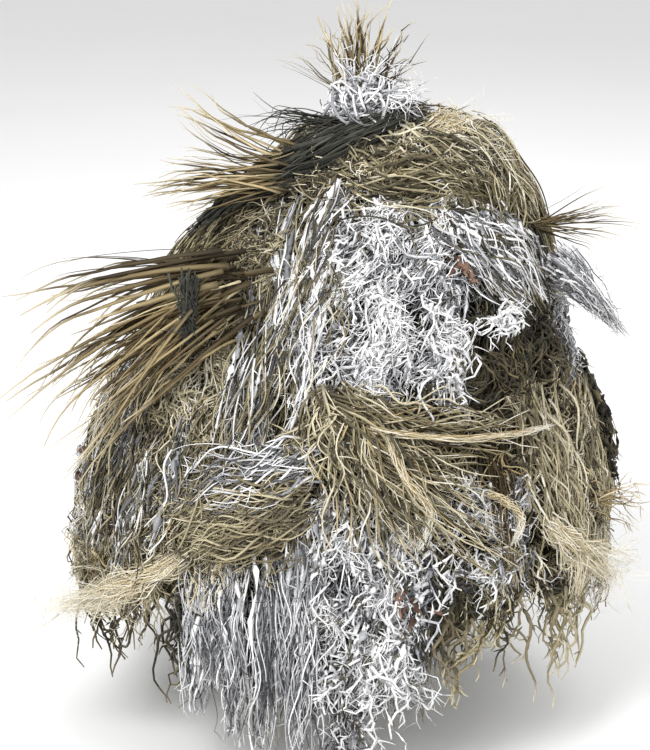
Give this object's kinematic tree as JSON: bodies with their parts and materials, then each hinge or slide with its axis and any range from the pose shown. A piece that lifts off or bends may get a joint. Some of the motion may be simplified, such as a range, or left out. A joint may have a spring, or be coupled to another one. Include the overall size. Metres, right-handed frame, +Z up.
{
  "type": "ghillie suit",
  "caption": "Hooded ghillie cape with a lifting face veil, an opening front, rows of jute and burlap fringe, and tufts of grass and reed.",
  "frame": {"origin": "where the cape sits on the wearer's neck, at the middle of the neck opening just below its seam", "axes": "+Z up, wearer faces -Y, wearer's left is +X"},
  "size_m": [1.0433, 0.7418, 1.1692],
  "materials": {
    "canvas": "matt plain-weave cotton canvas, faded olive",
    "net_cord": "knotted nylon net cord, matt dark olive",
    "tan_jute": "loose jute yarn, dry and hairy, tan to straw",
    "olive_jute": "loose jute yarn, dyed dark olive brown",
    "white_burlap": "shredded burlap, whitened, cool grey in its hollows",
    "reed": "dry reed and grass blades, brown at the foot, pale at the tip",
    "frayed_jute": "combed-out cream jute",
    "webbing": "woven polyester webbing, dark olive",
    "elastic": "ribbed braided elastic",
    "buckle_plastic": "moulded acetal, fine matt grain",
    "snap_metal": "oxide-blackened brass snap",
    "touch_fastener": "hook and loop pile, matt olive"
  },
  "bodies": {
    "cape": {"yoke_front_left": "canvas", "yoke_front_right": "canvas", "yoke_back": "canvas", "side_panel_left": "canvas", "side_panel_right": "canvas", "back_panel_left": "canvas", "back_panel_right": "canvas", "collar_band": "canvas", "side_net_left": "net_cord", "side_net_right": "net_cord", "back_net": "net_cord", "side_fringe_right": "tan_jute", "back_fringe_upper": "tan_jute", "chest_jute": "tan_jute", "shoulder_jute_right": "tan_jute", "side_fringe_left": "olive_jute", "back_fringe_lower": "olive_jute", "shoulder_jute_left": "olive_jute", "nape_jute": "olive_jute", "shoulder_reeds_right": "reed", "shoulder_sprig_left": "reed", "side_sprig_left": "reed", "frayed_hank_right": "frayed_jute", "frayed_hank_left": "frayed_jute", "hanger_loop": "webbing", "chest_strap_left": "webbing", "shoulder_loop_right": "elastic", "arm_loop_left": "elastic", "arm_loop_right": "elastic", "buckle_socket": "buckle_plastic", "strap_adjuster": "buckle_plastic", "snap_stud": "snap_metal"},
    "veil": {"veil_net": "net_cord", "veil_burlap": "white_burlap"},
    "hood": {"hood_crown": "canvas", "hood_brow": "canvas", "hood_wall_left": "canvas", "hood_wall_right": "canvas", "hood_jute_left": "tan_jute", "hood_jute_right": "olive_jute", "hood_jute_crown": "tan_jute", "tuft_grass": "reed", "tuft_wrap": "white_burlap", "hood_reeds": "reed"},
    "front_left": {"front_panel_left": "canvas", "front_net_left": "net_cord", "front_fringe_upper_left": "olive_jute", "front_fringe_lower_left": "white_burlap", "placket_flap": "canvas", "placket_hook_strip": "touch_fastener", "front_strands": "tan_jute"},
    "front_right": {"front_panel_right": "canvas", "front_net_right": "net_cord", "front_fringe_upper_right": "white_burlap", "front_fringe_lower_right": "tan_jute", "placket_loop_strip": "touch_fastener"},
    "throat_tab": {"throat_tab": "webbing", "snap_cap": "snap_metal"},
    "strap_prong": {"buckle_prong": "buckle_plastic", "chest_strap_right": "webbing"}
  },
  "joints": [
    {"name": "hood_fold", "type": "hinge", "parent": "cape", "child": "hood", "pos_m": [0, 0.164, 0.022], "axis": [-1, 0, 0], "range_deg": [0, 80]},
    {"name": "veil_lift", "type": "hinge", "parent": "hood", "child": "veil", "pos_m": [0.034, -0.152, 0.176], "axis": [-1, 0, 0], "range_deg": [0, 110]},
    {"name": "front_left_swing", "type": "hinge", "parent": "cape", "child": "front_left", "pos_m": [0.26814, -0.1084, -0.15346], "axis": [-0.1028, 0.0772, 0.9917], "range_deg": [0, 35]},
    {"name": "front_right_swing", "type": "hinge", "parent": "cape", "child": "front_right", "pos_m": [-0.29883, -0.1084, -0.15346], "axis": [-0.2898, -0.0743, -0.9542], "range_deg": [0, 35]},
    {"name": "throat_tab_swing", "type": "hinge", "parent": "cape", "child": "throat_tab", "pos_m": [0.032, -0.08904, 0.0225], "axis": [0, 0, 1], "range_deg": [0, 120]},
    {"name": "buckle_release", "type": "slide", "parent": "cape", "child": "strap_prong", "axis": [-1, 0, 0], "range_m": [0, 0.03]}
  ],
  "couplings": [
    {"joint": "front_right_swing", "follows": "front_left_swing", "ratio": 1}
  ]
}
